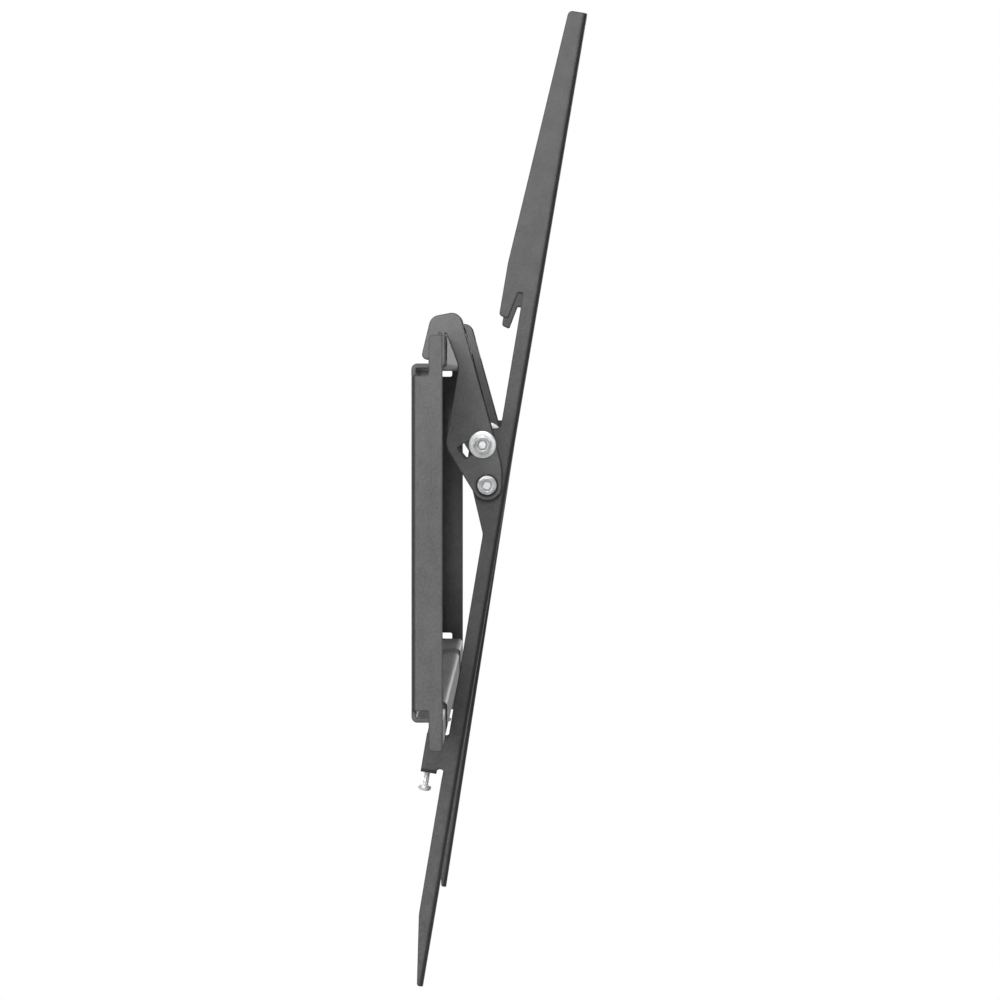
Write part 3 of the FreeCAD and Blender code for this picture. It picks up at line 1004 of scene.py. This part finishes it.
    def build(self) -> None:
        """Builds every fastener, tube and disc of this side."""
        nut_turn = math.radians(8)
        self.hex_bolt("pivot_bolt", "hanger", nut_turn)
        self.lock_nut("pivot_nut", "hanger", nut_turn)
        self.hex_bolt("tilt_bolt", "arm", 2 * nut_turn)
        self.lock_nut("tilt_nut", "arm", math.radians(40))
        self.washer("tilt_washer_outer", "arm", 4.3 * MM)
        self.washer("tilt_washer_inner", "arm", 4.3 * MM)
        self.tube("pivot_sleeve", "hanger", 4.1 * MM, 6.0 * MM, self.steel)
        self.tube("tilt_spacer", "arm", 4.2 * MM, 6.4 * MM, self.steel)
        self.disc_pair("pivot_washers", "hanger", 6.1 * MM, 11.0 * MM, 0.7 * MM)
        self.disc_pair("pivot_seats", "hanger", 4.2 * MM, 10.0 * MM, 0.8 * MM)
        self.disc_pair("friction_discs", "arm", 4.2 * MM, 11.0 * MM, 0.7 * MM)
        self.disc_pair("slot_bushes", "arm", 4.2 * MM, 5.9 * MM, 1.9 * MM)
        self.lock_screw()


# --- Studio ---------------------------------------------------------------------------------------


@dataclass(frozen=True)
class SoftBox:
    """An area light that is turned towards the mount."""

    name: str
    place: tuple[float, float, float]
    size: float
    power: float
    target: tuple[float, float, float] = (0.0, -0.03, 0.0)

    def hang(self) -> None:
        """Adds the light."""
        data = bpy.data.lights.new(self.name, "AREA")
        data.shape = "SQUARE"
        data.size = self.size
        data.energy = self.power
        lamp = bpy.data.objects.new(self.name, data)
        lamp.location = self.place
        aim = Vector(self.target) - Vector(self.place)
        lamp.rotation_euler = aim.to_track_quat("-Z", "Y").to_euler()
        bpy.context.scene.collection.objects.link(lamp)


@dataclass
class Studio:
    """Camera, white surroundings, pale floor and soft boxes."""

    camera_place: Vector
    camera_target: Vector
    lens: float
    floor_height: float
    ambient: float

    def set_camera(self) -> None:
        """Adds the camera and makes it the scene's own."""
        data = bpy.data.cameras.new("studio camera")
        data.lens = self.lens
        data.sensor_width = 36.0
        data.clip_start = 0.05
        data.clip_end = 200.0
        camera = bpy.data.objects.new("studio camera", data)
        camera.location = self.camera_place
        aim = self.camera_target - self.camera_place
        camera.rotation_euler = aim.to_track_quat("-Z", "Y").to_euler()
        bpy.context.scene.collection.objects.link(camera)
        bpy.context.scene.camera = camera

    def set_world(self) -> None:
        """White to the eye, and a softer grey as a light source."""
        world = bpy.data.worlds.new("white room")
        bpy.context.scene.world = world
        world.use_nodes = True
        sheet = Sheet(world.node_tree)
        output = world.node_tree.nodes["World Output"]
        seen = world.node_tree.nodes["Background"]
        seen.inputs["Color"].default_value = (1, 1, 1, 1)
        lit = sheet.add("Background", Color=(1, 1, 1, 1), Strength=self.ambient)
        mix = sheet.add("MixShader")
        sheet.feed(mix.inputs["Fac"], sheet.add("LightPath").outputs["Is Camera Ray"])
        sheet.feed(mix.inputs[1], lit.outputs[0])
        sheet.feed(mix.inputs[2], seen.outputs[0])
        sheet.feed(output.inputs["Surface"], mix.outputs[0])

    def lay_floor(self) -> None:
        """Adds a wide pale floor that is white to the eye and invisible from below."""
        mesh = bmesh.new()
        bmesh.ops.create_circle(mesh, cap_ends=True, radius=60.0, segments=96,
                                matrix=Matrix.Translation((0, 0, self.floor_height)))
        data = bpy.data.meshes.new("studio_floor")
        mesh.to_mesh(data)
        mesh.free()
        floor = bpy.data.objects.new("studio_floor", data)
        bpy.context.scene.collection.objects.link(floor)
        material = bpy.data.materials.new("pale floor")
        material.use_nodes = True
        sheet = Sheet(material.node_tree)
        output = material.node_tree.nodes["Material Output"]
        material.node_tree.nodes.remove(material.node_tree.nodes["Principled BSDF"])
        matt = sheet.add("BsdfDiffuse", Color=grey(0.55))
        glow = sheet.add("Emission", Color=(1, 1, 1, 1), Strength=1.0)
        rays = sheet.add("LightPath")
        top = sheet.add("MixShader")
        sheet.feed(top.inputs["Fac"], rays.outputs["Is Camera Ray"])
        sheet.feed(top.inputs[1], matt.outputs[0])
        sheet.feed(top.inputs[2], glow.outputs[0])
        clear = sheet.add("BsdfTransparent")
        both = sheet.add("MixShader")
        sheet.feed(both.inputs["Fac"], sheet.add("NewGeometry").outputs["Backfacing"])
        sheet.feed(both.inputs[1], top.outputs[0])
        sheet.feed(both.inputs[2], clear.outputs[0])
        sheet.feed(output.inputs["Surface"], both.outputs[0])
        data.materials.append(material)

    def build(self) -> None:
        """Sets the whole studio up."""
        self.set_camera()
        self.set_world()
        self.lay_floor()
        for box in (
            SoftBox("high key", (-1.45, 1.20, 1.35), 0.9, 20.0),
            SoftBox("card on the wall side", (-2.45, 0.85, 0.15), 1.3, 12.0),
            SoftBox("box over the camera", (-1.40, 0.12, 0.60), 0.6, 12.5),
            SoftBox("front kicker", (2.6, -1.9, 1.0), 1.2, 95.0),
            SoftBox("back kicker", (2.2, 2.0, 1.0), 1.4, 75.0),
            SoftBox("far side", (2.4, 0.4, 1.2), 1.6, 12.0),
        ):
            box.hang()
        bpy.context.scene.view_settings.view_transform = "Standard"


# --- The mount ------------------------------------------------------------------------------------


def main() -> None:
    """Builds every piece of the mount and the studio around it."""
    logging.basicConfig(level=logging.INFO, format="%(message)s")
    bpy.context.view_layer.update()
    Studio(camera_place=Vector((-2.222, -0.0492, 0.0689)),
           camera_target=Vector((-0.214, -0.0369, 0.0161)),
           lens=164.2, floor_height=-0.42, ambient=0.09).build()
    shop = Workshop.open()
    plate_paint = PowderCoat("plate powder coat", grey(0.066), grey(0.110),
                             grey(0.022)).material(shop)
    arm_paint = PowderCoat("arm powder coat", grey(0.062), grey(0.104), grey(0.022)).material(shop)
    # The hanger paint is made lighter than the other two only to make up for the end flange's
    # shadow on the hangers: painted light on a copy of the same paint.
    hanger_paint = PowderCoat("hanger powder coat with painted light", grey(0.110), grey(0.158),
                              grey(0.022)).material(shop)
    zinc = ZincPlate("bright zinc", grey(0.90, -0.01), grey(0.72, -0.01)).material(shop)
    steel = ZincPlate("turned steel", grey(0.55), grey(0.42), polish=0.34).material(shop)
    milky = Nylon("milky nylon", grey(0.72, -0.02), grey(0.60, -0.02), depth=0.2).material(shop)
    black = Nylon("black nylon", grey(0.018), grey(0.026)).material(shop)
    SheetPart("wall_plate", "plate", "plate_paint", plate_paint).build()
    for side in Side:
        SheetPart(side.node("hook_bracket"), side.body("hanger"), "hanger_paint",
                  hanger_paint).build()
        SheetPart(side.node("tv_arm"), side.body("arm"), "arm_paint", arm_paint).build()
        Hardware(side, zinc, steel, milky, black).build()


if __name__ == "__main__":
    main()
